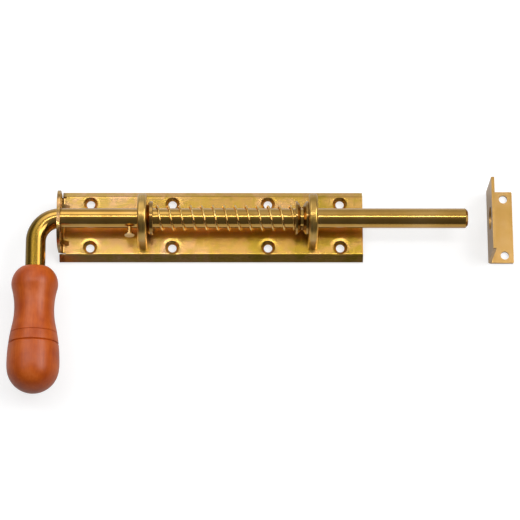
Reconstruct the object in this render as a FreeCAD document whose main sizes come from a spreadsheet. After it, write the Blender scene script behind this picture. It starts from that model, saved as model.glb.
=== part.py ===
"""Spring gate bolt: a sprung, cranked bolt bar in two guides on a folded sheet plate.

Millimetres. The plate's two folded edges stand on Z = 0, the face of the gate, and +Z points
away from it. The bar runs along X with its tip towards +X, and the crank hangs towards -Y.
The origin is the middle of the plate, on the face of the gate.
"""
import FreeCAD, Part
import math
import os

import PartDesign
import Sketcher
import Spreadsheet

V = FreeCAD.Vector

SIZES = (
    ("plate_length", 200.0, "base plate from the ear's outer face to the tip end"),
    ("plate_width", 48.0, "over both folded edges"),
    ("plate_rise", 5.4, "front face of the plate above the gate"),
    ("plate_sheet", 2.0, "thickness of the plate's sheet"),
    ("flank_angle", 45.0, "slope of the folded edges, in degrees"),
    ("flank_bend", 1.0, "inner radius of the folded edges"),
    ("flank_setback", 0.4, "folded edge on the grip's side stops short of the ear's outer face"),
    ("flank_cut", 2.1, "far folded edge stops short of the ear's outer face"),
    ("ear_inset", 4.5, "sides of the upturned ear from the plate's outer edges"),
    ("ear_height", 32.2, "top of the ear above the gate"),
    ("ear_corner", 14.0, "radius of the ear's upper corners"),
    ("ear_bend", 2.0, "inner radius of the ear's bend"),
    ("relief_width", 1.4, "relief slit beside the ear's bend"),
    ("relief_depth", 4.6, "relief slit along the plate"),
    ("relief_height", 2.8, "relief slit up the ear"),
    ("gusset_offset", 12.4, "pressed gussets of the ear's bend, from the middle"),
    ("gusset_width", 3.0, "pressed gusset across"),
    ("gusset_size", 4.6, "pressed gusset up the ear and along the plate"),
    ("screw_inset", 9.0, "rows of screw holes from the plate's outer edges"),
    ("screw_first", 20.5, "first screw hole from the ear's outer face"),
    ("screw_second", 74.5, "second screw hole from the ear's outer face"),
    ("screw_third", 137.5, "third screw hole from the ear's outer face"),
    ("screw_fourth", 185.0, "fourth screw hole from the ear's outer face"),
    ("screw_hole", 5.5, "diameter of the screw holes"),
    ("screw_sink", 9.4, "rim diameter of the pressed countersinks"),
    ("dimple_width", 10.4, "countersink's bulge behind the sheet, at its root"),
    ("dimple_depth", 0.9, "countersink's bulge behind the sheet"),
    ("bar_width", 13.0, "diameter of the bolt bar"),
    ("bar_height", 22.0, "bar's axis above the gate"),
    ("bar_reach", 67.6, "bar's tip beyond the plate"),
    ("bar_chamfer", 1.5, "chamfer of the tip"),
    ("crank_entry", 2.0, "start of the crank's bend inside the ear's outer face, at rest"),
    ("crank_radius", 15.8, "bend radius of the crank, on the bar's axis"),
    ("ear_clearance", 0.4, "round the bar in the ear"),
    ("guide_clearance", 0.15, "round the bar in each guide"),
    ("guide_thickness", 5.8, "guides along the bar"),
    ("guide_radius", 16.1, "rounded top of the guides"),
    ("guide_edge", 1.6, "rounding of the guides' outer edges"),
    ("rear_guide_place", 55.2, "middle of the rear guide from the ear's outer face"),
    ("front_guide_place", 166.6, "middle of the front guide from the ear's outer face"),
    ("tenon_offset", 11.0, "guide tenons from the middle line"),
    ("tenon_width", 6.0, "guide tenon across the plate"),
    ("tenon_thickness", 3.6, "guide tenon along the bar"),
    ("tenon_head", 1.0, "upset head of a tenon, in height and in overhang"),
    ("washer_width", 22.0, "outer diameter of the washers"),
    ("washer_clearance", 0.4, "round the bar in the washers"),
    ("washer_edge", 0.25, "chamfer of the washers' rims"),
    ("washer_bevel", 1.9, "bevelled side of the washers, along the bar"),
    ("washer_crown", 2.4, "bevelled side of the washers, in from the rim"),
    ("rear_seat_thickness", 4.0, "spring seat washer at the rear guide"),
    ("front_seat_thickness", 3.3, "spring seat washer at the cross pin"),
    ("buffer_thickness", 3.4, "washer between the cross pin and the front guide"),
    ("stack_gap", 0.1, "play between neighbours along the bar"),
    ("cross_pin_width", 1.6, "diameter of the cross pin"),
    ("cross_pin_length", 16.4, "length of the cross pin"),
    ("pin_turn", 8.0, "both pins lie this much above the crank's plane, in degrees"),
    ("catch_place", 47.0, "middle of the catch pin from the ear's outer face"),
    ("catch_width", 2.8, "shank diameter of the catch pin"),
    ("catch_tail", 0.3, "catch pin's riveted end below the bar's far side"),
    ("catch_reach", 12.3, "outer face of the catch pin's head from the bar's axis"),
    ("catch_head", 6.4, "head diameter of the catch pin"),
    ("catch_cone", 1.0, "cone under the catch pin's head"),
    ("catch_rim", 0.5, "rim of the catch pin's head"),
    ("keyhole_clearance", 0.5, "round the catch pin's head in the ear's keyhole"),
    ("wire", 1.3, "spring wire"),
    ("coil_width", 17.0, "outer diameter of the spring"),
    ("coil_turns", 13.0, "turns of the spring, closed ones too"),
    ("rear_closed_turns", 0.25, "closed part of the spring's rear end"),
    ("front_closed_turns", 0.25, "closed part of the spring's front end"),
    ("closed_pitch", 1.5, "pitch of the closed ends"),
    ("coil_start", 210.0, "turn of the wire's rear end about the bar from +Y, in degrees"),
    ("grip_start", 34.2, "top of the grip from the bar's axis"),
    ("grip_shoulder_width", 30.2, "diameter of the grip's shoulder"),
    ("grip_shoulder_place", 10.6, "shoulder's widest point from the grip's top"),
    ("grip_shoulder_round", 13.0, "radius of the shoulder's outline"),
    ("grip_neck_round", 50.0, "radius of the neck's outline"),
    ("grip_belly_width", 34.0, "diameter of the grip's belly"),
    ("grip_end_extra", 2.0, "rounded end below the belly, longer than half the belly's diameter"),
    ("grip_belly_round", 115.0, "radius of the belly's outline above its widest point"),
    ("grip_end_round", 29.5, "radius of the belly's outline below its widest point"),
    ("grip_length", 82.8, "grip from its top to its rounded end"),
    ("grip_bore", 44.0, "depth of the grip's bore"),
    ("grip_bore_spare", 2.0, "bore left free below the stem"),
    ("upper_ring_rise", 20.2, "faint turned line above the belly's widest point"),
    ("lower_ring_rise", 13.2, "deep turned line above the belly's widest point"),
    ("upper_ring_depth", 0.4, "depth of the faint turned line"),
    ("lower_ring_depth", 0.9, "depth of the deep turned line"),
    ("barb_pitch", 8.0, "ring grooves of the stem inside the grip, apart"),
    ("barb_depth", 0.6, "ring grooves of the stem, deep"),
    ("striker_gap", 82.5, "plate's end to the striker's upright"),
    ("striker_width", 49.0, "striker across the bolt"),
    ("striker_foot", 17.0, "striker's foot along the bolt"),
    ("striker_height", 35.0, "striker's upright above the gate"),
    ("striker_sheet", 2.0, "thickness of the striker's sheet"),
    ("striker_bend", 1.0, "inner radius of the striker's bend"),
    ("striker_corner", 0.7, "radius of the striker's corners"),
    ("striker_clearance", 1.0, "round the bar in the striker's hole"),
    ("striker_screw_row", 19.4, "striker's screw holes from the middle line"),
    ("striker_screw_place", 11.2, "striker's screw holes from its upright's outer face"),
)

doc = FreeCAD.newDocument("SpringGateBolt")
sheet = doc.addObject("Spreadsheet::Sheet", "Sizes")
for row, (alias, value, meaning) in enumerate(SIZES, start=1):
    sheet.set("A%d" % row, alias.replace("_", " "))
    sheet.set("B%d" % row, str(value))
    sheet.setAlias("B%d" % row, alias)
    sheet.set("C%d" % row, meaning)
doc.recompute()

# Places that follow from the sizes, as expressions on the sheet. The ear's outer face lies at
# EAR, and every place along the bar counts from it or from the guide that it leans on.
EAR = "(-Sizes.plate_length / 2)"
WEB_BACK = "(Sizes.plate_rise - Sizes.plate_sheet)"
WEB_HALF = ("(Sizes.plate_width / 2 - (Sizes.plate_rise - Sizes.plate_sheet * cos(Sizes.flank_angle))"
            " / tan(Sizes.flank_angle))")
EAR_INNER = "(%s + Sizes.plate_sheet)" % EAR
SCREW_ROW = "(Sizes.plate_width / 2 - Sizes.screw_inset)"
BAR_RADIUS = "(Sizes.bar_width / 2)"
BAR_TIP = "(Sizes.plate_length / 2 + Sizes.bar_reach)"
BEND_START = "(%s + Sizes.crank_entry)" % EAR
STEM_X = "(%s - Sizes.crank_radius)" % BEND_START
BELLY = "(Sizes.grip_length - Sizes.grip_belly_width / 2 - Sizes.grip_end_extra)"
STEM_END = "(Sizes.grip_start + Sizes.grip_bore - Sizes.grip_bore_spare)"
REAR_GUIDE = "(%s + Sizes.rear_guide_place)" % EAR
FRONT_GUIDE = "(%s + Sizes.front_guide_place)" % EAR
GUIDE_HALF = "(Sizes.guide_thickness / 2)"
REAR_SEAT = "(%s + %s + Sizes.stack_gap)" % (REAR_GUIDE, GUIDE_HALF)
BUFFER = "(%s - %s - Sizes.stack_gap - Sizes.buffer_thickness)" % (FRONT_GUIDE, GUIDE_HALF)
CROSS_PIN = "(%s - Sizes.stack_gap - Sizes.cross_pin_width / 2)" % BUFFER
FRONT_SEAT = "(%s - Sizes.cross_pin_width / 2 - Sizes.stack_gap - Sizes.front_seat_thickness)" % CROSS_PIN
CATCH = "(%s + Sizes.catch_place)" % EAR
STRIKER = "(Sizes.plate_length / 2 + Sizes.striker_gap)"


def value_of(expression):
    """The number that an expression on the sheet has now."""
    found = sheet.evalExpression(expression)
    return float(getattr(found, "Value", found))


def new_body(label):
    body = doc.addObject("PartDesign::Body", label)
    body.Label = label
    return body


def new_sketch(body, name, role, lift=None):
    """A sketch on one of the body's own origin planes, moved along the plane's normal by lift."""
    sketch = body.newObject("Sketcher::SketchObject", name)
    plane = [item for item in body.Origin.OriginFeatures if item.Role == role][0]
    sketch.AttachmentSupport = [(plane, "")]
    sketch.MapMode = "FlatFace"
    if lift is not None:
        sketch.setExpression("AttachmentOffset.Base.z", lift)
    doc.recompute()
    return sketch


def bind(sketch, kind, places, expression):
    """One dimension of the sketch, held by an expression on the sheet."""
    index = sketch.addConstraint(Sketcher.Constraint(kind, *places, value_of(expression)))
    sketch.setExpression("Constraints[%d]" % index, expression)


def pin_point(sketch, element, point, across, up):
    bind(sketch, "DistanceX", (-1, 1, element, point), across)
    bind(sketch, "DistanceY", (-1, 1, element, point), up)


def draw_polygon(sketch, corners):
    """A closed outline of straight lines; each corner is a pair of expressions."""
    places = [V(value_of(across), value_of(up), 0) for across, up in corners]
    count = len(places)
    lines = [sketch.addGeometry(Part.LineSegment(places[i], places[(i + 1) % count]), False)
             for i in range(count)]
    for i in range(count):
        sketch.addConstraint(Sketcher.Constraint("Coincident", lines[i], 2, lines[(i + 1) % count], 1))
    for line, (across, up) in zip(lines, corners):
        pin_point(sketch, line, 1, across, up)


def draw_rectangle(sketch, left, right, low, high):
    draw_polygon(sketch, ((left, low), (right, low), (right, high), (left, high)))


def draw_circle(sketch, across, up, width):
    centre = V(value_of(across), value_of(up), 0)
    circle = sketch.addGeometry(Part.Circle(centre, V(0, 0, 1), value_of(width) / 2), False)
    pin_point(sketch, circle, 3, across, up)
    bind(sketch, "Diameter", (circle,), width)


def add_feature(body, kind, name, sketch, length, both_ways=False, backwards=False):
    """A Pad or a Pocket. Where it goes both ways, length is its whole length."""
    feature = body.newObject("PartDesign::" + kind, name)
    feature.Profile = sketch
    if both_ways:
        feature.SideType = "Symmetric"
    feature.Reversed = backwards
    feature.setExpression("Length", length)
    sketch.Visibility = False
    before = body.Shape.Volume if kind == "Pocket" else 0.0
    doc.recompute()
    if kind == "Pocket" and not feature.Shape.Volume < before - 1e-6:
        raise RuntimeError("%s of %s cuts nothing" % (name, body.Label))
    return feature


def turn_profile(body, name, sketch, axis, kind="Revolution"):
    feature = body.newObject("PartDesign::" + kind, name)
    feature.Profile = sketch
    feature.ReferenceAxis = (sketch, [axis])
    feature.Angle = 360.0
    sketch.Visibility = False
    doc.recompute()
    return feature


def dress(body, kind, name, chosen, size):
    """A Fillet or Chamfer on the edges of the body's last feature for which chosen is true."""
    base = body.Tip
    names = ["Edge%d" % (i + 1) for i, edge in enumerate(base.Shape.Edges) if chosen(edge)]
    if not names:
        raise RuntimeError("%s of %s finds no edge" % (name, body.Label))
    feature = body.newObject("PartDesign::" + kind, name)
    feature.Base = (base, names)
    feature.setExpression("Radius" if kind == "Fillet" else "Size", size)
    doc.recompute()
    return feature


def near(first, second):
    return abs(first - second) < 1e-4


def lies_along(edge, axis):
    """True for a straight edge along the axis of this number: 0 for X, 1 for Y, 2 for Z."""
    if not isinstance(edge.Curve, (Part.Line, Part.LineSegment)):
        return False
    direction = edge.tangentAt(edge.FirstParameter)
    return near(abs(direction[axis]), 1.0)


def centre_of(edge):
    return edge.valueAt((edge.FirstParameter + edge.LastParameter) / 2)


def place_body(body, across="0", along="0", up="0"):
    body.setExpression("Placement.Base.x", across)
    body.setExpression("Placement.Base.y", along)
    body.setExpression("Placement.Base.z", up)
    doc.recompute()


def make_base_plate():
    """Folded sheet: hat profile, upturned ear with its keyhole, countersinks and tenon slots."""
    body = new_body("base_plate")

    # Hat profile: flat web, both long edges folded back, their cut ends square to the sheet.
    tip_up = "Sizes.plate_sheet * cos(Sizes.flank_angle)"
    tip_in = "(Sizes.plate_width / 2 - Sizes.plate_sheet * sin(Sizes.flank_angle))"
    inner_half = "(%s - Sizes.plate_sheet * tan(Sizes.flank_angle / 2))" % WEB_HALF
    right_side = ((WEB_HALF, "Sizes.plate_rise"), ("Sizes.plate_width / 2", tip_up),
                  (tip_in, "0"), (inner_half, WEB_BACK))
    left_side = tuple(("-(%s)" % across, up) for across, up in reversed(right_side))
    hat = new_sketch(body, "HatProfile", "YZ_Plane", "%s + Sizes.flank_setback" % EAR)
    draw_polygon(hat, right_side + left_side)
    add_feature(body, "Pad", "Hat", hat, "Sizes.plate_length - Sizes.flank_setback")

    rise = value_of("Sizes.plate_rise")
    back = value_of(WEB_BACK)
    web_half = value_of(WEB_HALF)
    inner = value_of(inner_half)
    dress(body, "Fillet", "FoldOutside",
          lambda edge: lies_along(edge, 0) and near(centre_of(edge).z, rise)
          and near(abs(centre_of(edge).y), web_half), "Sizes.flank_bend + Sizes.plate_sheet")
    dress(body, "Fillet", "FoldInside",
          lambda edge: lies_along(edge, 0) and near(centre_of(edge).z, back)
          and near(abs(centre_of(edge).y), inner), "Sizes.flank_bend")

    # Ear: the end of the web turned up, seen from the side as an L.
    lap = "(%s + Sizes.relief_depth + Sizes.plate_sheet)" % EAR
    ear = new_sketch(body, "EarProfile", "XZ_Plane")
    draw_polygon(ear, ((EAR, WEB_BACK), (lap, WEB_BACK), (lap, "Sizes.plate_rise"),
                       (EAR_INNER, "Sizes.plate_rise"), (EAR_INNER, "Sizes.ear_height"),
                       (EAR, "Sizes.ear_height")))
    add_feature(body, "Pad", "Ear", ear, "Sizes.plate_width - 2 * Sizes.ear_inset", both_ways=True)

    # The far folded edge is cut a little shorter.
    cut = new_sketch(body, "FlankCut", "XY_Plane")
    draw_rectangle(cut, "%s - Sizes.plate_sheet" % EAR, "%s + Sizes.flank_cut" % EAR,
                   WEB_HALF, "Sizes.plate_width / 2 + Sizes.plate_sheet")
    add_feature(body, "Pocket", "FlankEnd", cut, "2 * Sizes.plate_rise", backwards=True)

    # Relief slits keep the ear's bend clear of the folded edges.
    slits = new_sketch(body, "ReliefSlits", "XY_Plane", WEB_BACK)
    slit_in = "(%s - Sizes.relief_width)" % WEB_HALF
    slit_out = WEB_HALF
    slit_start = "(%s - Sizes.plate_sheet)" % EAR
    slit_end = "(%s + Sizes.relief_depth)" % EAR
    draw_rectangle(slits, slit_start, slit_end, slit_in, slit_out)
    draw_rectangle(slits, slit_start, slit_end, "-" + slit_out, "-" + slit_in)
    add_feature(body, "Pocket", "Relief", slits, "Sizes.plate_sheet + Sizes.relief_height",
                backwards=True)

    ear_inner = value_of(EAR_INNER)
    ear_outer = value_of(EAR)
    dress(body, "Fillet", "EarBendInside",
          lambda edge: lies_along(edge, 1) and near(centre_of(edge).z, rise)
          and near(centre_of(edge).x, ear_inner), "Sizes.ear_bend")
    dress(body, "Fillet", "EarBendOutside",
          lambda edge: lies_along(edge, 1) and near(centre_of(edge).z, back)
          and near(centre_of(edge).x, ear_outer), "Sizes.ear_bend + Sizes.plate_sheet")
    top = value_of("Sizes.ear_height")
    dress(body, "Fillet", "EarCorners",
          lambda edge: lies_along(edge, 0) and near(centre_of(edge).z, top), "Sizes.ear_corner")

    # The bar's hole in the ear, and the keyhole slot that lets the catch pin's head through.
    middle = "%s + Sizes.plate_sheet / 2" % EAR
    hole = new_sketch(body, "EarHole", "YZ_Plane", middle)
    draw_circle(hole, "0", "Sizes.bar_height", "Sizes.bar_width + 2 * Sizes.ear_clearance")
    add_feature(body, "Pocket", "BarHole", hole, "2 * Sizes.plate_sheet", both_ways=True)
    slot = new_sketch(body, "EarSlot", "YZ_Plane", middle)
    far = "(Sizes.catch_reach + Sizes.keyhole_clearance)"
    half = "(Sizes.catch_head / 2 + Sizes.keyhole_clearance)"
    corners = []
    for reach, side in (("0", "-1"), (far, "-1"), (far, "1"), ("0", "1")):
        across = "-%s * cos(Sizes.pin_turn) + %s * %s * sin(Sizes.pin_turn)" % (reach, side, half)
        up = ("Sizes.bar_height + %s * sin(Sizes.pin_turn) + %s * %s * cos(Sizes.pin_turn)"
              % (reach, side, half))
        corners.append((across, up))
    draw_polygon(slot, corners)
    add_feature(body, "Pocket", "Keyhole", slot, "2 * Sizes.plate_sheet", both_ways=True)

    # Two pressed gussets stiffen the ear's bend.
    for side, sign in (("Left", "-"), ("Right", "")):
        gusset = new_sketch(body, side + "GussetProfile", "XZ_Plane",
                            sign + "Sizes.gusset_offset - Sizes.gusset_width / 2")
        foot = "(%s - Sizes.plate_sheet / 2)" % EAR_INNER
        floor = "(Sizes.plate_rise - Sizes.plate_sheet / 2)"
        draw_polygon(gusset, ((foot, floor), ("%s + Sizes.gusset_size" % EAR_INNER, floor),
                              ("%s + Sizes.gusset_size" % EAR_INNER, "Sizes.plate_rise"),
                              (EAR_INNER, "Sizes.plate_rise + Sizes.gusset_size"),
                              (foot, "Sizes.plate_rise + Sizes.gusset_size")))
        add_feature(body, "Pad", side + "Gusset", gusset, "Sizes.gusset_width")

    # Eight countersunk screw holes, pressed so that they bulge behind the sheet.
    columns = ["(%s + Sizes.screw_%s)" % (EAR, name) for name in ("first", "second", "third", "fourth")]
    bulges = new_sketch(body, "DimplePlaces", "XY_Plane", "%s + Sizes.plate_sheet / 4" % WEB_BACK)
    holes = new_sketch(body, "ScrewPlaces", "XY_Plane", "Sizes.plate_rise")
    for column in columns:
        for row_side in (SCREW_ROW, "-" + SCREW_ROW):
            draw_circle(bulges, column, row_side, "Sizes.dimple_width")
            draw_circle(holes, column, row_side, "Sizes.screw_hole")
    dimples = add_feature(body, "Pad", "Dimples", bulges,
                          "Sizes.dimple_depth + Sizes.plate_sheet / 4", backwards=True)
    dimples.TaperAngle = -38.0
    doc.recompute()
    screw_holes = body.newObject("PartDesign::Hole", "ScrewHoles")
    screw_holes.Profile = holes
    screw_holes.DepthType = "ThroughAll"
    screw_holes.HoleCutType = "Countersink"
    screw_holes.HoleCutCustomValues = True
    screw_holes.setExpression("Diameter", "Sizes.screw_hole")
    screw_holes.setExpression("HoleCutDiameter", "Sizes.screw_sink")
    screw_holes.HoleCutCountersinkAngle = 90.0
    doc.recompute()

    # Slots for the tenons of both guides.
    slots = new_sketch(body, "TenonSlots", "XY_Plane", "Sizes.plate_rise")
    for guide in (REAR_GUIDE, FRONT_GUIDE):
        for sign in ("", "-"):
            centre = sign + "Sizes.tenon_offset"
            draw_rectangle(slots, "%s - Sizes.tenon_thickness / 2" % guide,
                           "%s + Sizes.tenon_thickness / 2" % guide,
                           "%s - Sizes.tenon_width / 2" % centre, "%s + Sizes.tenon_width / 2" % centre)
    add_feature(body, "Pocket", "Slots", slots, "2 * Sizes.plate_sheet")
    return body


def make_guide(label, place):
    """A stamped eye with a flat foot and two tenons, upset behind the plate."""
    body = new_body(label)
    radius = "Sizes.guide_radius"
    eye = new_sketch(body, "EyeOutline", "YZ_Plane")
    r = value_of(radius)
    low = value_of("Sizes.plate_rise")
    high = value_of("Sizes.bar_height")
    foot = eye.addGeometry(Part.LineSegment(V(-r, low, 0), V(r, low, 0)), False)
    right = eye.addGeometry(Part.LineSegment(V(r, low, 0), V(r, high, 0)), False)
    round_top = Part.ArcOfCircle(Part.Circle(V(0, high, 0), V(0, 0, 1), r), 0, math.pi)
    arch = eye.addGeometry(round_top, False)
    left = eye.addGeometry(Part.LineSegment(V(-r, high, 0), V(-r, low, 0)), False)
    for first, second in ((foot, right), (right, arch), (arch, left), (left, foot)):
        eye.addConstraint(Sketcher.Constraint("Coincident", first, 2, second, 1))
    pin_point(eye, foot, 1, "-" + radius, "Sizes.plate_rise")
    pin_point(eye, foot, 2, radius, "Sizes.plate_rise")
    pin_point(eye, right, 2, radius, "Sizes.bar_height")
    pin_point(eye, left, 1, "-" + radius, "Sizes.bar_height")
    bind(eye, "DistanceY", (-1, 1, arch, 3), "Sizes.bar_height")
    draw_circle(eye, "0", "Sizes.bar_height", "Sizes.bar_width + 2 * Sizes.guide_clearance")
    add_feature(body, "Pad", "Eye", eye, "Sizes.guide_thickness", both_ways=True)

    half = value_of(GUIDE_HALF)
    dress(body, "Fillet", "RoundedEdges",
          lambda edge: near(abs(centre_of(edge).x), half)
          and math.hypot(centre_of(edge).y, max(centre_of(edge).z - high, 0)) > r - 1e-3
          and not near(centre_of(edge).z, low), "Sizes.guide_edge")

    tenons = new_sketch(body, "TenonPlaces", "XY_Plane", "Sizes.plate_rise")
    heads = new_sketch(body, "HeadPlaces", "XY_Plane", WEB_BACK)
    for sign in ("", "-"):
        centre = sign + "Sizes.tenon_offset"
        for sketch, extra in ((tenons, "0"), (heads, "Sizes.tenon_head")):
            draw_rectangle(sketch, "-(Sizes.tenon_thickness / 2 + %s)" % extra,
                           "Sizes.tenon_thickness / 2 + %s" % extra,
                           "%s - Sizes.tenon_width / 2 - %s" % (centre, extra),
                           "%s + Sizes.tenon_width / 2 + %s" % (centre, extra))
    add_feature(body, "Pad", "Tenons", tenons, "Sizes.plate_sheet + Sizes.tenon_head / 2",
                backwards=True)
    add_feature(body, "Pad", "UpsetHeads", heads, "Sizes.tenon_head", backwards=True)
    lowest = value_of(WEB_BACK + " - Sizes.tenon_head")
    dress(body, "Chamfer", "HeadEdges",
          lambda edge: near(centre_of(edge).z, lowest), "Sizes.tenon_head * 0.6")
    place_body(body, place)
    return body


def make_bolt_bar():
    """One bar, chamfered at the tip, cranked behind the ear, with both pin holes."""
    body = new_body("bolt_bar")
    tip = value_of(BAR_TIP)
    start = value_of(BEND_START)
    bend = value_of("Sizes.crank_radius")
    stem_end = value_of(STEM_END)

    route = new_sketch(body, "BarRoute", "XY_Plane")
    straight = route.addGeometry(Part.LineSegment(V(tip, 0, 0), V(start, 0, 0)), False)
    turn = route.addGeometry(Part.ArcOfCircle(Part.Circle(V(start, -bend, 0), V(0, 0, 1), bend),
                                              math.pi / 2, math.pi), False)
    stem = route.addGeometry(Part.LineSegment(V(start - bend, -bend, 0), V(start - bend, -stem_end, 0)),
                             False)
    pin_point(route, straight, 1, BAR_TIP, "0")
    pin_point(route, straight, 2, BEND_START, "0")
    route.addConstraint(Sketcher.Constraint("Coincident", straight, 2, turn, 1))
    route.addConstraint(Sketcher.Constraint("Coincident", turn, 2, stem, 1))
    pin_point(route, turn, 3, BEND_START, "-Sizes.crank_radius")
    bind(route, "DistanceY", (-1, 1, turn, 2), "-Sizes.crank_radius")
    pin_point(route, stem, 2, STEM_X, "-" + STEM_END)
    section = new_sketch(body, "BarSection", "YZ_Plane", BAR_TIP)
    draw_circle(section, "0", "0", "Sizes.bar_width")
    bar = body.newObject("PartDesign::AdditivePipe", "Bar")
    bar.Profile = section
    bar.Spine = (route, ["Edge1", "Edge2", "Edge3"])
    route.Visibility = False
    doc.recompute()
    dress(body, "Chamfer", "TipChamfer", lambda edge: near(edge.CenterOfMass.x, tip),
          "Sizes.bar_chamfer")

    # Ring grooves hold the stem in the wood.
    barbs = new_sketch(body, "BarbProfile", "XY_Plane")
    barbs.setExpression("AttachmentOffset.Base.x", STEM_X)
    for number in range(1, 5):
        place = "(-%s + %d * Sizes.barb_pitch)" % (STEM_END, number)
        draw_polygon(barbs, (("%s - Sizes.barb_depth" % BAR_RADIUS, place),
                             ("%s + Sizes.barb_depth" % BAR_RADIUS, "%s - 2 * Sizes.barb_depth" % place),
                             ("%s + Sizes.barb_depth" % BAR_RADIUS, "%s + 2 * Sizes.barb_depth" % place)))
    turn_profile(body, "Barbs", barbs, "V_Axis", kind="Groove")

    # Both pins go right through the bar.
    through = new_sketch(body, "CrossPinPlace", "XZ_Plane")
    through.AttachmentOffset = FreeCAD.Placement(V(), FreeCAD.Rotation(V(-1, 0, 0), value_of("Sizes.pin_turn")))
    through.setExpression("AttachmentOffset.Rotation.Angle", "Sizes.pin_turn")
    draw_circle(through, CROSS_PIN, "0", "Sizes.cross_pin_width")
    add_feature(body, "Pocket", "CrossPinHole", through, "2 * Sizes.bar_width", both_ways=True)
    riveted = new_sketch(body, "CatchPinPlace", "XZ_Plane")
    riveted.AttachmentOffset = FreeCAD.Placement(V(), FreeCAD.Rotation(V(-1, 0, 0), value_of("Sizes.pin_turn")))
    riveted.setExpression("AttachmentOffset.Rotation.Angle", "Sizes.pin_turn")
    draw_circle(riveted, CATCH, "0", "Sizes.catch_width")
    add_feature(body, "Pocket", "CatchPinHole", riveted, "2 * Sizes.bar_width", both_ways=True)
    place_body(body, up="Sizes.bar_height")
    return body


def make_pin_body(label, place):
    """An empty body at a pin's middle, its -Y axis along the pin."""
    body = new_body(label)
    body.Placement = FreeCAD.Placement(V(), FreeCAD.Rotation(V(-1, 0, 0), value_of("Sizes.pin_turn")))
    body.setExpression("Placement.Rotation.Angle", "Sizes.pin_turn")
    place_body(body, place, "0", "Sizes.bar_height")
    return body


def make_cross_pin():
    body = make_pin_body("cross_pin", CROSS_PIN)
    profile = new_sketch(body, "PinProfile", "XY_Plane")
    draw_rectangle(profile, "0", "Sizes.cross_pin_width / 2",
                   "-Sizes.cross_pin_length / 2", "Sizes.cross_pin_length / 2")
    turn_profile(body, "Pin", profile, "V_Axis")
    end = value_of("Sizes.cross_pin_length / 2")
    dress(body, "Chamfer", "PinEnds", lambda edge: near(abs(edge.CenterOfMass.y), end),
          "Sizes.cross_pin_width / 8")
    return body


def make_catch_pin():
    """Riveted pin whose flat head, pulled through the ear and turned, holds the bolt back."""
    body = make_pin_body("catch_pin", CATCH)
    profile = new_sketch(body, "PinProfile", "XY_Plane")
    shank = "Sizes.catch_width / 2"
    rim = "Sizes.catch_head / 2"
    rim_start = "-(Sizes.catch_reach - Sizes.catch_rim)"
    tail = "(%s - Sizes.catch_tail)" % BAR_RADIUS
    draw_polygon(profile, (("0", tail), (shank, tail),
                           (shank, "-(Sizes.catch_reach - Sizes.catch_rim - Sizes.catch_cone)"),
                           (rim, rim_start), (rim, "-Sizes.catch_reach"), ("0", "-Sizes.catch_reach")))
    turn_profile(body, "Pin", profile, "V_Axis")
    return body


def make_washer(label, place, thickness, bevelled_front):
    """A thick turned washer, bevelled on the side that faces away from the spring or the guide."""
    body = new_body(label)
    profile = new_sketch(body, "WasherProfile", "XY_Plane")
    bore = "(%s + Sizes.washer_clearance)" % BAR_RADIUS
    rim = "(Sizes.washer_width / 2)"
    crown = "(%s - Sizes.washer_crown)" % rim
    eased = "(%s - Sizes.washer_edge)" % rim
    if bevelled_front:
        draw_polygon(profile, (("0", bore), (thickness, bore), (thickness, crown),
                               (thickness + " - Sizes.washer_bevel", rim),
                               ("Sizes.washer_edge", rim), ("0", eased)))
    else:
        draw_polygon(profile, (("0", bore), (thickness, bore), (thickness, eased),
                               (thickness + " - Sizes.washer_edge", rim),
                               ("Sizes.washer_bevel", rim), ("0", crown)))
    turn_profile(body, "Washer", profile, "H_Axis")
    place_body(body, place, "0", "Sizes.bar_height")
    return body


def arc_between(start, tangent, end):
    """The arc that leaves start along tangent and ends at end."""
    chord = end - start
    along = V(chord).normalize()
    bend = math.acos(max(-1.0, min(1.0, tangent.dot(along))))
    outward = tangent - along * tangent.dot(along)
    outward.normalize()
    radius = chord.Length / (2 * math.sin(bend))
    middle = (start + end) * 0.5 + outward * (radius * (1 - math.cos(bend)))
    return Part.Arc(start, middle, end).toShape(), radius


def biarc(start, start_tangent, end, end_tangent):
    """Two arcs that join two points, each with its own direction."""
    gap = end - start
    both = start_tangent + end_tangent
    spread = 2 * (1 - start_tangent.dot(end_tangent))
    reach = (-gap.dot(both) + math.sqrt(gap.dot(both) ** 2 + spread * gap.dot(gap))) / spread
    joint = (start + end + (start_tangent - end_tangent) * reach) * 0.5
    first, first_radius = arc_between(start, start_tangent, joint)
    second, second_radius = arc_between(end, end_tangent * -1, joint)
    return (first, second), min(first_radius, second_radius)


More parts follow.
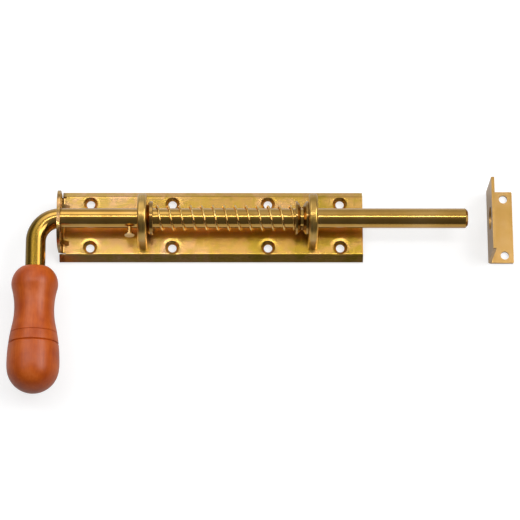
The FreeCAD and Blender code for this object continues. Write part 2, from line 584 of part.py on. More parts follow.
def make_spring():
    """One wire, wound right-handed: open turns that close in towards the washer at each end."""
    wire = value_of("Sizes.wire")
    coil_radius = (value_of("Sizes.coil_width") - wire) / 2
    play = value_of("Sizes.stack_gap")
    first = value_of(REAR_SEAT + " + Sizes.rear_seat_thickness") + play + wire / 2
    last = value_of(FRONT_SEAT) - play - wire / 2
    closed = value_of("Sizes.closed_pitch")
    all_turns = value_of("Sizes.coil_turns")
    rear_turns = value_of("Sizes.rear_closed_turns")
    front_turns = value_of("Sizes.front_closed_turns")
    open_turns = all_turns - rear_turns - front_turns
    open_pitch = (last - first - (rear_turns + front_turns) * closed) / open_turns
    start_angle = math.radians(value_of("Sizes.coil_start"))
    height = value_of("Sizes.bar_height")

    def advance(turns):
        open_part = min(max(turns - rear_turns, 0.0), open_turns)
        return first + (turns - open_part) * closed + open_part * open_pitch

    def point(turns):
        angle = start_angle + 2 * math.pi * turns
        return V(advance(turns), coil_radius * math.cos(angle), height + coil_radius * math.sin(angle))

    def direction(turns):
        step = 0.125
        low = max(turns - step, 0.0)
        high = min(turns + step, all_turns)
        slope = (advance(high) - advance(low)) / (high - low)
        angle = start_angle + 2 * math.pi * turns
        around = 2 * math.pi * coil_radius
        return V(slope, -around * math.sin(angle), around * math.cos(angle)).normalize()

    quarters = int(round(all_turns * 4))
    stops = [all_turns * i / quarters for i in range(quarters + 1)]
    edges = []
    tightest = coil_radius
    for here, there in zip(stops, stops[1:]):
        pair, radius = biarc(point(here), direction(here), point(there), direction(there))
        edges.extend(pair)
        tightest = min(tightest, radius)
    path = Part.Wire(edges)
    section = Part.Wire([Part.Circle(point(0.0), direction(0.0), wire / 2).toShape()])
    tube = path.makePipeShell([section], True, False)

    samples = [point(all_turns * i / (quarters * 6)) for i in range(quarters * 6 + 1)]
    gap = min((samples[i] - samples[j]).Length for i in range(len(samples))
              for j in range(i + 12, min(i + 36, len(samples)))) - wire
    print("spring: %.1f turns, open pitch %.2f, tightest arc %.2f, least gap to itself %.2f"
          % (all_turns, open_pitch, tightest, gap))
    print("spring: volume %.1f, section times length %.1f"
          % (tube.Volume, math.pi * wire * wire / 4 * path.Length))
    spring = doc.addObject("Part::Feature", "spring")
    spring.Label = "spring"
    spring.Shape = tube
    spring.Placement = FreeCAD.Placement()
    return spring


def circles_meet(centre, radius, other, other_radius):
    """The meeting point of two circles that lies further from the grip's axis."""
    gap = other - centre
    along = (gap.Length ** 2 + radius ** 2 - other_radius ** 2) / (2 * gap.Length)
    aside = math.sqrt(radius ** 2 - along ** 2)
    unit = V(gap).normalize()
    square = V(-unit.y, unit.x, 0)
    found = [centre + unit * along + square * (aside * sign) for sign in (1, -1)]
    return max(found, key=lambda place: place.x)


def arc_from(centre, radius, start, end, clockwise):
    """A sketch arc between two points of a circle; clockwise says how it runs from start."""
    first = math.atan2(start.y - centre.y, start.x - centre.x)
    second = math.atan2(end.y - centre.y, end.x - centre.x)
    low, high = (second, first) if clockwise else (first, second)
    return Part.ArcOfCircle(Part.Circle(centre, V(0, 0, 1), radius), low, high)


def make_wooden_grip():
    """Turned handle: shoulder, drawn-in neck, full belly, two turned lines and a blind bore."""
    body = new_body("wooden_grip")
    shoulder_round = value_of("Sizes.grip_shoulder_round")
    neck_round = value_of("Sizes.grip_neck_round")
    belly_round = value_of("Sizes.grip_belly_round")
    end_round = value_of("Sizes.grip_end_round")
    belly = V(value_of("Sizes.grip_belly_width / 2"), -value_of(BELLY), 0)
    shoulder_centre = V(value_of("Sizes.grip_shoulder_width / 2") - shoulder_round,
                        -value_of("Sizes.grip_shoulder_place"), 0)
    belly_centre = belly - V(belly_round, 0, 0)
    end_centre = belly - V(end_round, 0, 0)
    neck_centre = circles_meet(shoulder_centre, shoulder_round + neck_round,
                               belly_centre, belly_round + neck_round)
    rim = V(shoulder_centre.x + math.sqrt(shoulder_round ** 2 - shoulder_centre.y ** 2), 0, 0)
    upper = shoulder_centre + (neck_centre - shoulder_centre).normalize() * shoulder_round
    lower = belly_centre + (neck_centre - belly_centre).normalize() * belly_round
    bottom = V(0, -value_of("Sizes.grip_length"), 0)
    beyond = end_round + bottom.y
    cap_centre = V(0, (end_centre.x ** 2 + end_centre.y ** 2 - beyond ** 2)
                   / (2 * (end_centre.y - beyond)), 0)
    cap_start = end_centre + (cap_centre - end_centre).normalize() * end_round

    profile = new_sketch(body, "GripProfile", "XY_Plane")
    top = profile.addGeometry(Part.LineSegment(V(), rim), False)
    shoulder = profile.addGeometry(arc_from(shoulder_centre, shoulder_round, rim, upper, True), False)
    neck = profile.addGeometry(arc_from(neck_centre, neck_round, upper, lower, False), False)
    flank = profile.addGeometry(arc_from(belly_centre, belly_round, lower, belly, True), False)
    end = profile.addGeometry(arc_from(end_centre, end_round, belly, cap_start, True), False)
    cap_round = cap_centre.y - bottom.y
    cap = profile.addGeometry(arc_from(cap_centre, cap_round, cap_start, bottom, True), False)
    axis = profile.addGeometry(Part.LineSegment(bottom, V()), False)
    # An arc's first point is the one reached first when it is followed anticlockwise.
    for kind, places in (("Coincident", (top, 1, -1, 1)), ("Horizontal", (top,)),
                         ("Coincident", (top, 2, shoulder, 2)), ("Tangent", (shoulder, 1, neck, 1)),
                         ("Tangent", (neck, 2, flank, 2)), ("Tangent", (flank, 1, end, 2)),
                         ("Tangent", (end, 1, cap, 2)), ("Coincident", (cap, 1, axis, 1)),
                         ("PointOnObject", (cap, 3, -2)), ("Coincident", (axis, 2, -1, 1)),
                         ("Vertical", (axis,))):
        profile.addConstraint(Sketcher.Constraint(kind, *places))
    for arc, size in ((shoulder, "shoulder"), (neck, "neck"), (flank, "belly"), (end, "end")):
        bind(profile, "Radius", (arc,), "Sizes.grip_%s_round" % size)
    pin_point(profile, shoulder, 3, "Sizes.grip_shoulder_width / 2 - Sizes.grip_shoulder_round",
              "-Sizes.grip_shoulder_place")
    pin_point(profile, flank, 3, "Sizes.grip_belly_width / 2 - Sizes.grip_belly_round", "-" + BELLY)
    bind(profile, "DistanceY", (-1, 1, flank, 1), "-" + BELLY)
    bind(profile, "DistanceY", (-1, 1, cap, 1), "-Sizes.grip_length")
    turn_profile(body, "Turned", profile, "V_Axis")

    rings = new_sketch(body, "RingProfile", "XY_Plane")
    for name in ("upper", "lower"):
        place = "(%s - Sizes.%s_ring_rise)" % (BELLY, name)
        depth = "Sizes.%s_ring_depth" % name
        surface = ("(Sizes.grip_belly_width / 2 - Sizes.grip_belly_round + sqrt(Sizes.grip_belly_round ^ 2"
                   " - Sizes.%s_ring_rise ^ 2))" % name)
        draw_polygon(rings, (("%s - %s" % (surface, depth), "-" + place),
                             ("%s + %s" % (surface, depth), "-%s - 1.4 * %s" % (place, depth)),
                             ("%s + %s" % (surface, depth), "-%s + 1.4 * %s" % (place, depth))))
    turn_profile(body, "TurnedLines", rings, "V_Axis", kind="Groove")

    bore = new_sketch(body, "BorePlace", "XZ_Plane")
    draw_circle(bore, "0", "0", "Sizes.bar_width")
    add_feature(body, "Pocket", "Bore", bore, "2 * Sizes.grip_bore", both_ways=True)
    place_body(body, STEM_X, "-Sizes.grip_start", "Sizes.bar_height")
    return body


def make_striker():
    """Angle that takes the bolt's end: an upright with the bolt hole, a foot with two screw holes."""
    body = new_body("striker")
    angle = new_sketch(body, "AngleProfile", "XZ_Plane")
    thick = "Sizes.striker_sheet"
    draw_polygon(angle, (("0", "0"), ("Sizes.striker_foot", "0"), ("Sizes.striker_foot", thick),
                         (thick, thick), (thick, "Sizes.striker_height"), ("0", "Sizes.striker_height")))
    add_feature(body, "Pad", "Angle", angle, "Sizes.striker_width", both_ways=True)
    sheet_thickness = value_of(thick)
    top = value_of("Sizes.striker_height")
    foot = value_of("Sizes.striker_foot")
    dress(body, "Fillet", "BendInside",
          lambda edge: lies_along(edge, 1) and near(centre_of(edge).x, sheet_thickness)
          and near(centre_of(edge).z, sheet_thickness), "Sizes.striker_bend")
    dress(body, "Fillet", "BendOutside",
          lambda edge: lies_along(edge, 1) and near(centre_of(edge).x, 0)
          and near(centre_of(edge).z, 0), "Sizes.striker_bend + Sizes.striker_sheet")
    dress(body, "Fillet", "Corners",
          lambda edge: (lies_along(edge, 0) and near(centre_of(edge).z, top))
          or (lies_along(edge, 2) and near(centre_of(edge).x, foot)), "Sizes.striker_corner")
    bolt_hole = new_sketch(body, "BoltHolePlace", "YZ_Plane", "Sizes.striker_sheet / 2")
    draw_circle(bolt_hole, "0", "Sizes.bar_height", "Sizes.bar_width + 2 * Sizes.striker_clearance")
    add_feature(body, "Pocket", "BoltHole", bolt_hole, "2 * Sizes.striker_sheet", both_ways=True)
    holes = new_sketch(body, "ScrewPlaces", "XY_Plane", "Sizes.striker_sheet / 2")
    for row_side in ("Sizes.striker_screw_row", "-Sizes.striker_screw_row"):
        draw_circle(holes, "Sizes.striker_screw_place", row_side, "Sizes.screw_hole")
    add_feature(body, "Pocket", "ScrewHoles", holes, "2 * Sizes.striker_sheet", both_ways=True)
    place_body(body, STRIKER)
    return body


nodes = [
    make_base_plate(),
    make_guide("rear_guide", REAR_GUIDE),
    make_guide("front_guide", FRONT_GUIDE),
    make_bolt_bar(),
    make_cross_pin(),
    make_catch_pin(),
    make_washer("rear_seat_washer", REAR_SEAT, "Sizes.rear_seat_thickness", False),
    make_washer("front_seat_washer", FRONT_SEAT, "Sizes.front_seat_thickness", True),
    make_washer("buffer_washer", BUFFER, "Sizes.buffer_thickness", False),
    make_spring(),
    make_wooden_grip(),
    make_striker(),
]
doc.recompute()

for item in doc.Objects:
    if "Invalid" in item.State or "Error" in item.State:
        raise RuntimeError("%s failed: %s" % (item.Label, item.State))
for node in nodes:
    if node.Shape.isNull() or not node.Shape.isValid():
        raise RuntimeError("%s has no valid shape" % node.Label)
    if len(node.Shape.Solids) != 1:
        raise RuntimeError("%s has %d solids" % (node.Label, len(node.Shape.Solids)))

os.makedirs("parts", exist_ok=True)
for node in nodes:
    node.Shape.exportStep(os.path.join("parts", node.Label + ".step"))
    box = node.Shape.BoundBox
    print("%-18s %9.1f mm3  X %7.1f %7.1f  Y %7.1f %7.1f  Z %6.1f %6.1f"
          % (node.Label, node.Shape.Volume, box.XMin, box.XMax, box.YMin, box.YMax, box.ZMin, box.ZMax))
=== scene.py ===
"""Spring gate bolt in yellow zinc plated steel, with a turned wooden grip and its angle striker."""
import math

import bmesh
import bpy
from mathutils import Matrix, Vector


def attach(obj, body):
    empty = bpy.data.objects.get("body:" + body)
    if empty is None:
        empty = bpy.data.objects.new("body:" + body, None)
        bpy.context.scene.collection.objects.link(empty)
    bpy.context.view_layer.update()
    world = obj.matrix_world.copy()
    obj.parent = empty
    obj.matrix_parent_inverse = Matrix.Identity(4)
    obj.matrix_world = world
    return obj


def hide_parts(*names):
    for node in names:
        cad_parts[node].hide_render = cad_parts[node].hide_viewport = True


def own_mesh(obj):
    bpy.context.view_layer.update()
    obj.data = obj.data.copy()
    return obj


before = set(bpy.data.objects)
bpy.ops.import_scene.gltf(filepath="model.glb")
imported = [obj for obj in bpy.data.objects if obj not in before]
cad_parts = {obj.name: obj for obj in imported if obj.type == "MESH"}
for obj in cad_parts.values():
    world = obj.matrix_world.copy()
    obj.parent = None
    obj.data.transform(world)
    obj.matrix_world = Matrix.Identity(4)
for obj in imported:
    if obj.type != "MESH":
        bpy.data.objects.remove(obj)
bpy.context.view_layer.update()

# Camera: a long lens high above the front edge, nearly square on to the plate, as in the
# photograph. It stands 1.58 m off and looks down at 73.6 degrees, so the far side of each upright
# shows a little.
photo_pixels = 520.0
focal_pixels = 2400.0
camera_place = Vector((0.01127, -0.467998, 1.517216))
camera_aim = Vector((0.03215, -0.02342, 0.005))
camera_roll = math.radians(-0.21)
look = (camera_aim - camera_place).normalized()
side = look.cross(Vector((0, 1, 0))).normalized()
rise = side.cross(look)
side, rise = (side * math.cos(camera_roll) + rise * math.sin(camera_roll),
              rise * math.cos(camera_roll) - side * math.sin(camera_roll))
lens = bpy.data.cameras.new("photo_camera")
lens.sensor_width = 36.0
lens.lens = focal_pixels / photo_pixels * lens.sensor_width
lens.clip_start = 0.05
lens.clip_end = 20.0
camera = bpy.data.objects.new("photo_camera", lens)
turn = Matrix((side, rise, -look)).transposed()
camera.matrix_world = Matrix.Translation(camera_place) @ turn.to_4x4()
bpy.context.scene.collection.objects.link(camera)
bpy.context.scene.camera = camera


# Base plate: 2 mm cold rolled steel, punched, pressed round its screw holes, folded along both
# sides and turned up into an ear, then zinc plated and yellow passivated.
def linear(code):
    """A colour written as sRGB hex, as the linear values that the shaders take."""
    parts = [int(code[i:i + 2], 16) / 255 for i in (0, 2, 4)]
    parts = [p / 12.92 if p <= 0.04045 else ((p + 0.055) / 1.055) ** 2.4 for p in parts]
    return (*parts, 1.0)


def add(tree, kind, inputs=(), **settings):
    """One node with its settings, and its inputs as values or as the sockets that feed them."""
    node = tree.nodes.new(kind)
    for name, value in settings.items():
        setattr(node, name, value)
    for key, value in dict(inputs).items():
        if isinstance(value, bpy.types.NodeSocket):
            tree.links.new(value, node.inputs[key])
        else:
            node.inputs[key].default_value = value
    return node


def set_ramp(node, stops):
    """Sets a colour ramp's stops from pairs of position and linear colour."""
    ramp = node.color_ramp
    while len(ramp.elements) < len(stops):
        ramp.elements.new(0.5)
    for element, (position, colour) in zip(ramp.elements, stops):
        element.position = position
        element.color = colour


def yellow_zinc(name, tints, roughness, cloud_mm, line_mm, line_along, coat=0.2,
                line_depth_mm=0.004, line_gloss=0.1, tint_and_shade_drift=None):
    """Passivated zinc: cloudy tints, and tool lines along one axis or round X ("YZ"), which change
    the gloss by line_gloss either way. With tint_and_shade_drift, the tint also runs through its
    range from one X to another, in millimetres; on the plate this is partly the plating's own tint
    and partly painted light, lighter at the left end and darker at the right."""
    line_length = 40.0  # times its width
    tint_and_shade_reach = 0.16  # of the ramp, to either side
    noise_low, noise_high = 0.3, 0.7  # nearly all of a noise lies between these
    material = bpy.data.materials.new(name)
    material.use_nodes = True
    tree = material.node_tree
    shader = tree.nodes["Principled BSDF"]
    shader.inputs["Metallic"].default_value = 1.0
    shader.inputs["Coat Weight"].default_value = coat
    shader.inputs["Coat Roughness"].default_value = 0.08
    where = add(tree, "ShaderNodeTexCoord").outputs["Object"]
    clouds = add(tree, "ShaderNodeTexNoise",
                 {"Vector": where, "Scale": 1000.0 / cloud_mm, "Detail": 4.0, "Roughness": 0.6})
    wander = clouds.outputs["Fac"]
    if tint_and_shade_drift:
        xyz = add(tree, "ShaderNodeSeparateXYZ", {0: where})
        along = add(tree, "ShaderNodeMapRange",
                    {"Value": xyz.outputs["X"], "From Min": tint_and_shade_drift[0] / 1000,
                     "From Max": tint_and_shade_drift[1] / 1000, "To Min": -tint_and_shade_reach, "To Max": tint_and_shade_reach})
        wander = add(tree, "ShaderNodeMath", {0: wander, 1: along.outputs["Result"]}).outputs[0]
    tint = add(tree, "ShaderNodeValToRGB", {"Fac": wander})
    set_ramp(tint, [(position, linear(code)) for position, code in tints])
    lines_per_metre = 1000.0 / line_mm
    stretch = [lines_per_metre / (line_length if axis in line_along else 1.0) for axis in "XYZ"]
    lined = add(tree, "ShaderNodeMapping", {"Vector": where, "Scale": stretch})
    lines = add(tree, "ShaderNodeTexNoise",
                {"Vector": lined.outputs["Vector"], "Scale": 1.0, "Detail": 2.0})
    gloss = add(tree, "ShaderNodeMapRange",
                {"Value": lines.outputs["Fac"], "From Min": noise_low, "From Max": noise_high,
                 "To Min": roughness * (1 - line_gloss), "To Max": roughness * (1 + line_gloss)})
    bump = add(tree, "ShaderNodeBump",
               {"Height": lines.outputs["Fac"], "Strength": 1.0, "Distance": line_depth_mm / 1000})
    bump.name = "lines"
    tree.links.new(tint.outputs["Color"], shader.inputs["Base Color"])
    tree.links.new(gloss.outputs["Result"], shader.inputs["Roughness"])
    tree.links.new(bump.outputs["Normal"], shader.inputs["Normal"])
    return material


def dress(node, material):
    """Gives a carried-over solid its finish."""
    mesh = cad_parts[node].data
    mesh.materials.clear()
    mesh.materials.append(material)


# The plating is bright metal under a thin chromate film, whose tint goes from peach to straw and
# olive in clouds of 2 cm. The sheet's rolling lines, really about 0.1 mm wide, are drawn at 1.6 mm
# so that they show at all, and very faint.
# The tint also drifts along the plate from light peach at the left end to darker olive at the
# right: partly the plating's own tint, partly painted light standing in for more light falling from
# the left.
zinc_sheet = yellow_zinc("zinc_plated_rolled_sheet",
                         ((0.26, "F6C48C"), (0.36, "E4BC5C"), (0.44, "F0BC7A"), (0.54, "DAB04A"),
                          (0.62, "E0AE60"), (0.70, "C6A43A"), (0.80, "CCA24C")),
                         0.26, cloud_mm=22.0, line_mm=1.6, line_along="X", coat=0.03,
                         line_depth_mm=0.0001, line_gloss=0.03, tint_and_shade_drift=(-100, 100))
tree = zinc_sheet.node_tree
shader = tree.nodes["Principled BSDF"]
where = add(tree, "ShaderNodeTexCoord").outputs["Object"]
xyz = add(tree, "ShaderNodeSeparateXYZ", {0: where})

# The screw holes were pressed in, so the sheet sinks a little for 2.5 mm round each countersink.
hole_columns = (-0.0795, -0.0255, 0.0375, 0.0850)
hole_row = 0.015
dimple_bottom, dimple_rim = 0.0042, 0.0072
dimple_depth = 0.00015
beyond_all = 1.0
nearest = beyond_all
for column in hole_columns:
    away = add(tree, "ShaderNodeMath", {0: xyz.outputs["X"], 1: column}, operation="SUBTRACT")
    away = add(tree, "ShaderNodeMath", {0: away.outputs[0]}, operation="ABSOLUTE")
    nearest = add(tree, "ShaderNodeMath", {0: away.outputs[0], 1: nearest},
                  operation="MINIMUM").outputs[0]
aside = add(tree, "ShaderNodeMath", {0: xyz.outputs["Y"]}, operation="ABSOLUTE")
aside = add(tree, "ShaderNodeMath", {0: aside.outputs[0], 1: hole_row}, operation="SUBTRACT")
from_hole = add(tree, "ShaderNodeCombineXYZ", {"X": nearest, "Y": aside.outputs[0]})
reach = add(tree, "ShaderNodeVectorMath", {0: from_hole.outputs[0]}, operation="LENGTH")
sunk = add(tree, "ShaderNodeMapRange",
           {"Value": reach.outputs["Value"], "From Min": dimple_bottom, "From Max": dimple_rim},
           interpolation_type="SMOOTHSTEP")
pressed = add(tree, "ShaderNodeBump",
              {"Height": sunk.outputs["Result"], "Strength": 1.0, "Distance": dimple_depth,
               "Normal": tree.nodes["lines"].outputs["Normal"]})
tree.links.new(pressed.outputs["Normal"], shader.inputs["Normal"])

# Painted shade: the ear's bend is darkened to a dull brown in blotches of 5 mm, standing in for the
# shade and dark reflections that gather in the bend.
ear_shade_start, ear_shade_full = -0.0950, -0.0975
ear_shade_share = 0.75
blotch_mm = 5.0
blotch = add(tree, "ShaderNodeTexNoise",
             {"Vector": where, "Scale": 1000.0 / blotch_mm, "Detail": 4.0})
near_ear = add(tree, "ShaderNodeMapRange",
               {"Value": xyz.outputs["X"], "From Min": ear_shade_start, "From Max": ear_shade_full,
                "To Max": ear_shade_share})
patchy = add(tree, "ShaderNodeMapRange",
             {"Value": blotch.outputs["Fac"], "From Min": 0.35, "From Max": 0.6, "To Min": 0.35})
ear_painted_shade = add(tree, "ShaderNodeMath",
              {0: near_ear.outputs["Result"], 1: patchy.outputs["Result"]}, operation="MULTIPLY")
plating = shader.inputs["Base Color"].links[0].from_socket
# The painted shade mixes the plating towards dull brown near the ear.
ear_shaded_plating = add(tree, "ShaderNodeMix",
             {"Factor": ear_painted_shade.outputs[0], 6: plating, 7: linear("7A5C26")}, data_type="RGBA")
tree.links.new(ear_shaded_plating.outputs[2], shader.inputs["Base Color"])
dress("base_plate", zinc_sheet)


# Guides: two eyes stamped from 5.8 mm steel, with their edges rounded before plating, and tenons
# upset behind the plate. The cut rims keep marks that run round them, drawn at 1 mm, far coarser
# than the real 0.1 mm, and their plating is duller than the sheet's.
zinc_stamped = yellow_zinc("zinc_plated_stamped_steel",
                           ((0.32, "DCB874"), (0.50, "CEA65A"), (0.68, "BA9244")),
                           0.31, cloud_mm=16.0, line_mm=1.0, line_along="YZ", coat=0.1,
                           line_gloss=0.2)
dress("rear_guide", zinc_stamped)
dress("front_guide", zinc_stamped)


# Bolt bar: 13 mm bright drawn round steel, bent cold behind the ear and chamfered at the tip. It
# slides in the guides, so its plating is the brightest. Drawing leaves fine lines along the bar,
# drawn at 0.9 mm, wider than the real 0.05 mm, and the clear film over the zinc adds a white gleam.
bar_film, crank_film = 0.8, 0.1
crank_roughness = 0.27
bend_start, bend_full = -0.104, -0.114
zinc_drawn = yellow_zinc("zinc_plated_drawn_bar",
                         ((0.30, "DCAE5C"), (0.50, "D0A042"), (0.70, "C29034")),
                         0.14, cloud_mm=25.0, line_mm=0.9, line_along="X", coat=bar_film,
                         line_depth_mm=0.0005)
# Bending wipes out the drawing lines and thins the film, so the crank is duller. Its tint is also
# mixed to a darker olive, a painted shade for the darker reflections the crank catches.
tree = zinc_drawn.node_tree
shader = tree.nodes["Principled BSDF"]
xyz = add(tree, "ShaderNodeSeparateXYZ", {0: add(tree, "ShaderNodeTexCoord").outputs["Object"]})
bent = add(tree, "ShaderNodeMapRange",
           {"Value": xyz.outputs["X"], "From Min": bend_start, "From Max": bend_full})
drawn_tint = shader.inputs["Base Color"].links[0].from_socket
crank_painted_shade = add(tree, "ShaderNodeMix",
                 {"Factor": bent.outputs["Result"], 6: drawn_tint, 7: linear("8A6C22")},
                 data_type="RGBA")
drawn_gloss = shader.inputs["Roughness"].links[0].from_socket
crank_gloss = add(tree, "ShaderNodeMix",
                  {"Factor": bent.outputs["Result"], "A": drawn_gloss, "B": crank_roughness},
                  data_type="FLOAT")
straight = add(tree, "ShaderNodeMath", {0: 1.0, 1: bent.outputs["Result"]}, operation="SUBTRACT")
film = add(tree, "ShaderNodeMapRange",
           {"Value": bent.outputs["Result"], "To Min": bar_film, "To Max": crank_film})
tree.links.new(crank_painted_shade.outputs[2], shader.inputs["Base Color"])
tree.links.new(crank_gloss.outputs["Result"], shader.inputs["Roughness"])
tree.links.new(straight.outputs[0], tree.nodes["lines"].inputs["Strength"])
tree.links.new(film.outputs["Result"], shader.inputs["Coat Weight"])
dress("bolt_bar", zinc_drawn)


# Pins: the catch pin is turned with a flat head and riveted across the bar, and holds the bolt open
# behind the ear. The cross pin, pressed through the bar, takes the spring's push. Both are plated,
# and smooth from turning.
zinc_pin = yellow_zinc("zinc_plated_turned_pin",
                       ((0.30, "EEC98C"), (0.50, "E0B66E"), (0.70, "CEA252")),
                       0.24, cloud_mm=6.0, line_mm=0.5, line_along="YZ", coat=0.3)
dress("cross_pin", zinc_pin)
dress("catch_pin", zinc_pin)


# Washers: three thick steel rings, turned with a bevel, loose on the bar. Two are the spring's
# seats, and the third lies between the cross pin and the front guide. The turning marks run round
# them, drawn at 0.6 mm instead of 0.1 mm, and their tint is darker than the bar's, a painted shade
# for the shadow and dark reflections they sit in between the guides, pins and spring.
zinc_washer = yellow_zinc("zinc_plated_washer",
                          ((0.30, "C09858"), (0.50, "B08844"), (0.70, "9A7232")),
                          0.20, cloud_mm=9.0, line_mm=0.6, line_along="YZ", coat=0.3)
for washer in ("rear_seat_washer", "front_seat_washer", "buffer_washer"):
    dress(washer, zinc_washer)


# Spring: 1.3 mm hard drawn wire, wound cold with its end turns closed in, plated, and slipped over
# the bar between two washers. It shortens as the bar is pulled; here its coils are wound as one
# fixed mesh that rides with the carriage.
wire_radius = 0.00065
wire_sides = 14
coil_radius = 0.00785
bar_height = 0.022
rear_end, front_end = -0.03705, 0.05435
end_pitch, end_turns, open_turns = 0.0015, 0.25, 12.5
open_pitch = (front_end - rear_end - 2 * end_turns * end_pitch) / open_turns
turn_steps = 24
start_angle = math.radians(210)
bm = bmesh.new()
bmesh.ops.create_circle(
    bm, segments=wire_sides, radius=wire_radius,
    matrix=Matrix.Translation((rear_end, 0, bar_height)) @ Matrix.Rotation(start_angle, 4, "X")
    @ Matrix.Translation((0, coil_radius, 0)))
wound = list(bm.edges)
for turns, pitch in ((end_turns, end_pitch), (open_turns, open_pitch), (end_turns, end_pitch)):
    run = bmesh.ops.spin(bm, geom=wound, cent=(0, 0, bar_height), axis=(1, 0, 0),
                         angle=2 * math.pi * turns, dvec=(pitch / turn_steps, 0, 0),
                         steps=round(turns * turn_steps))
    wound = run["geom_last"]
for face in bm.faces:
    face.smooth = True
bmesh.ops.edgeloop_fill(bm, edges=[edge for edge in bm.edges if edge.is_boundary])
bmesh.ops.recalc_face_normals(bm, faces=bm.faces)
spring_mesh = bpy.data.meshes.new("spring_wire")
bm.to_mesh(spring_mesh)
bm.free()
zinc_wire = yellow_zinc("zinc_plated_spring_wire",
                        ((0.30, "F2CE8A"), (0.50, "E8BE6C"), (0.70, "DAAC52")),
                        0.20, cloud_mm=12.0, line_mm=0.6, line_along="X", coat=0.3)
spring_mesh.materials.append(zinc_wire)
spring = bpy.data.objects.new("spring_wire", spring_mesh)
bpy.context.scene.collection.objects.link(spring)
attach(spring, "carriage")
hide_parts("spring")
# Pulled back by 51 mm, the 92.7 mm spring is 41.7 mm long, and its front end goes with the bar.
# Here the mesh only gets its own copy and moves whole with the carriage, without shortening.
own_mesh(spring)


# Grip: a handle turned from beech with two cut rings, pressed on to the stem, stained orange brown
# and dipped in satin varnish. The grain runs along it in lines of about 1 mm, nearly hidden by
# blotches of 14 mm where the end of the grain took more stain.
grain_per_metre = (900.0, 60.0, 900.0)
stain_mm = 14.0
stain_over_grain = 0.72
stained_wood = bpy.data.materials.new("stained_varnished_beech")
stained_wood.use_nodes = True
tree = stained_wood.node_tree
shader = tree.nodes["Principled BSDF"]
shader.inputs["Roughness"].default_value = 0.36
shader.inputs["Specular IOR Level"].default_value = 0.36
shader.inputs["Coat Weight"].default_value = 0.12
shader.inputs["Coat Roughness"].default_value = 0.3
where = add(tree, "ShaderNodeTexCoord").outputs["Object"]
grain_place = add(tree, "ShaderNodeMapping", {"Vector": where, "Scale": grain_per_metre})
grain = add(tree, "ShaderNodeTexNoise",
            {"Vector": grain_place.outputs["Vector"], "Scale": 1.0, "Detail": 4.0})
blotch = add(tree, "ShaderNodeTexNoise",
             {"Vector": where, "Scale": 1000.0 / stain_mm, "Detail": 3.0})
stain = add(tree, "ShaderNodeMix",
            {"Factor": stain_over_grain, "A": grain.outputs["Fac"], "B": blotch.outputs["Fac"]},
            data_type="FLOAT")
grain_tint = add(tree, "ShaderNodeValToRGB", {"Fac": stain.outputs["Result"]})
set_ramp(grain_tint, [(0.30, linear("A84008")), (0.45, linear("BA500E")),
                      (0.55, linear("C65A14")), (0.70, linear("D0682A"))])
bump = add(tree, "ShaderNodeBump",
           {"Height": grain.outputs["Fac"], "Strength": 0.05, "Distance": 0.0001})
tree.links.new(grain_tint.outputs["Color"], shader.inputs["Base Color"])
tree.links.new(bump.outputs["Normal"], shader.inputs["Normal"])
dress("wooden_grip", stained_wood)


# Striker: an angle bent from 2 mm sheet, with the bolt's hole in its upright and two screw holes in
# its foot. It is screwed to the post apart from the bolt. Its plating is even and matt, with
# rolling lines along it, drawn at 0.8 mm instead of 0.1 mm.
zinc_striker = yellow_zinc("zinc_plated_angle",
                           ((0.30, "BA945C"), (0.50, "B28A4A"), (0.70, "A68040")),
                           0.33, cloud_mm=25.0, line_mm=0.8, line_along="Y", line_depth_mm=0.002)
dress("striker", zinc_striker)


# Studio: a white table in a white surround. A strip of light with a thin bright tube along it hangs
# above the bolt and draws the line along the bar. A soft light stands behind, one at each end, and
# the room gets darker towards the camera's side and its ends, which shades the metal's flanks.
table_reach = 4.0
table_drop = 0.0004
camera_glow, mirror_glow = 0.69, 0.22
table_mesh = bpy.data.meshes.new("table")
bm = bmesh.new()
bmesh.ops.create_grid(bm, x_segments=1, y_segments=1, size=table_reach)
bmesh.ops.translate(bm, verts=bm.verts, vec=(0, 0, -table_drop))
bm.to_mesh(table_mesh)
bm.free()
table = bpy.data.objects.new("table", table_mesh)
bpy.context.scene.collection.objects.link(table)
# The table glows for the camera, which makes it white, and less so where metal mirrors it.
white_table = bpy.data.materials.new("white_table")
white_table.use_nodes = True
tree = white_table.node_tree
shader = tree.nodes["Principled BSDF"]
shader.inputs["Base Color"].default_value = linear("ADADAD")
shader.inputs["Roughness"].default_value = 0.9
shader.inputs["Specular IOR Level"].default_value = 0.1
shader.inputs["Emission Color"].default_value = (1, 1, 1, 1)
path = add(tree, "ShaderNodeLightPath")
mirrored = add(tree, "ShaderNodeMath",
               {0: path.outputs["Is Glossy Ray"], 1: path.outputs["Is Transmission Ray"]},
               operation="MAXIMUM")
seen = add(tree, "ShaderNodeMath", {0: mirrored.outputs[0], 1: mirror_glow}, operation="MULTIPLY")
glow = add(tree, "ShaderNodeMath",
           {0: path.outputs["Is Camera Ray"], 1: camera_glow, 2: seen.outputs[0]},
           operation="MULTIPLY_ADD")
tree.links.new(glow.outputs[0], shader.inputs["Emission Strength"])
table_mesh.materials.append(white_table)

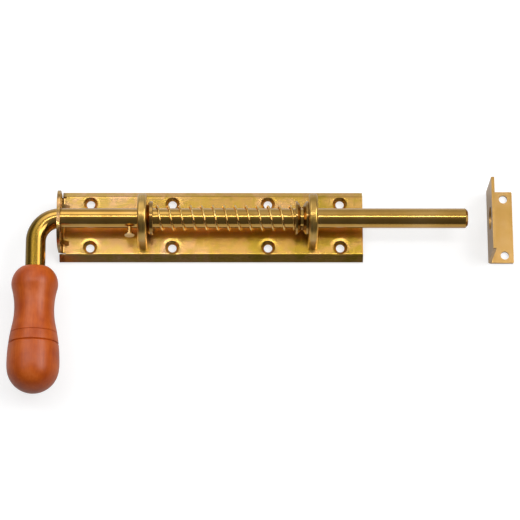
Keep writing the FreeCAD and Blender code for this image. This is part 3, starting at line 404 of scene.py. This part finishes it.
# The room's grey goes by the angle from overhead, in degrees: -90 is the camera's side, 90 behind.
room_span = 100
room_levels = ((-90, 0.14), (-72, 0.09), (-26, 0.12), (-10, 0.22), (2, 0.30), (11, 0.46),
               (26, 0.54), (36, 0.68), (60, 0.58), (90, 0.42))
world = bpy.data.worlds.new("studio")
bpy.context.scene.world = world
world.use_nodes = True
tree = world.node_tree
back = tree.nodes["Background"]
direction = add(tree, "ShaderNodeSeparateXYZ",
                {0: add(tree, "ShaderNodeTexCoord").outputs["Generated"]})
lean = add(tree, "ShaderNodeMath", {0: direction.outputs["Y"], 1: direction.outputs["Z"]},
           operation="ARCTAN2")
around = add(tree, "ShaderNodeMapRange",
             {"Value": lean.outputs[0], "From Min": math.radians(-room_span),
              "From Max": math.radians(room_span)})
room = add(tree, "ShaderNodeValToRGB", {"Fac": around.outputs["Result"]})
set_ramp(room, [((degrees + room_span) / (2 * room_span), (grey, grey, grey, 1.0))
                for degrees, grey in room_levels])
endways = add(tree, "ShaderNodeMath", {0: direction.outputs["X"]}, operation="ABSOLUTE")
ends = add(tree, "ShaderNodeMapRange",
           {"Value": endways.outputs[0], "From Min": 0.3, "From Max": 0.8,
            "To Min": 1.0, "To Max": 0.3})
dimmed = add(tree, "ShaderNodeMath", {0: room.outputs["Color"], 1: ends.outputs["Result"]},
             operation="MULTIPLY")
path = add(tree, "ShaderNodeLightPath")
level = add(tree, "ShaderNodeMix",
            {"Factor": path.outputs["Is Camera Ray"], "A": dimmed.outputs[0], "B": 1.0},
            data_type="FLOAT")
back.inputs["Color"].default_value = (1, 1, 1, 1)
tree.links.new(level.outputs["Result"], back.inputs["Strength"])

# Each lamp leans towards the bolt, the two at the ends sideways and the others forwards. The last
# number turns a lamp about the vertical, in degrees.
for name, spot, size, watts, plan in (
        ("strip_light", (0.10, 0.090, 1.0), (1.8, 0.12), 1.9, -4),
        ("tube_light", (0.10, 0.110, 1.0), (1.8, 0.02), 1.2, -4),
        ("soft_light", (-0.50, 0.83, 0.86), (0.9, 0.69), 1.9, 0),
        ("left_light", (-0.70, 0.10, 1.0), (0.65, 1.2), 2.5, 0),
        ("right_light", (0.78, 0.10, 1.0), (0.65, 1.2), 8.5, 0)):
    lamp = bpy.data.lights.new(name, "AREA")
    lamp.shape = "RECTANGLE"
    lamp.size, lamp.size_y = size
    lamp.energy = watts
    holder = bpy.data.objects.new(name, lamp)
    holder.location = spot
    x, y, z = spot
    if name in ("left_light", "right_light"):
        holder.rotation_euler = (0, math.atan2(x, z), 0)
    else:
        holder.rotation_euler = (-math.atan2(y, z), 0, math.radians(plan))
    bpy.context.scene.collection.objects.link(holder)

bpy.context.scene.view_settings.view_transform = "Standard"
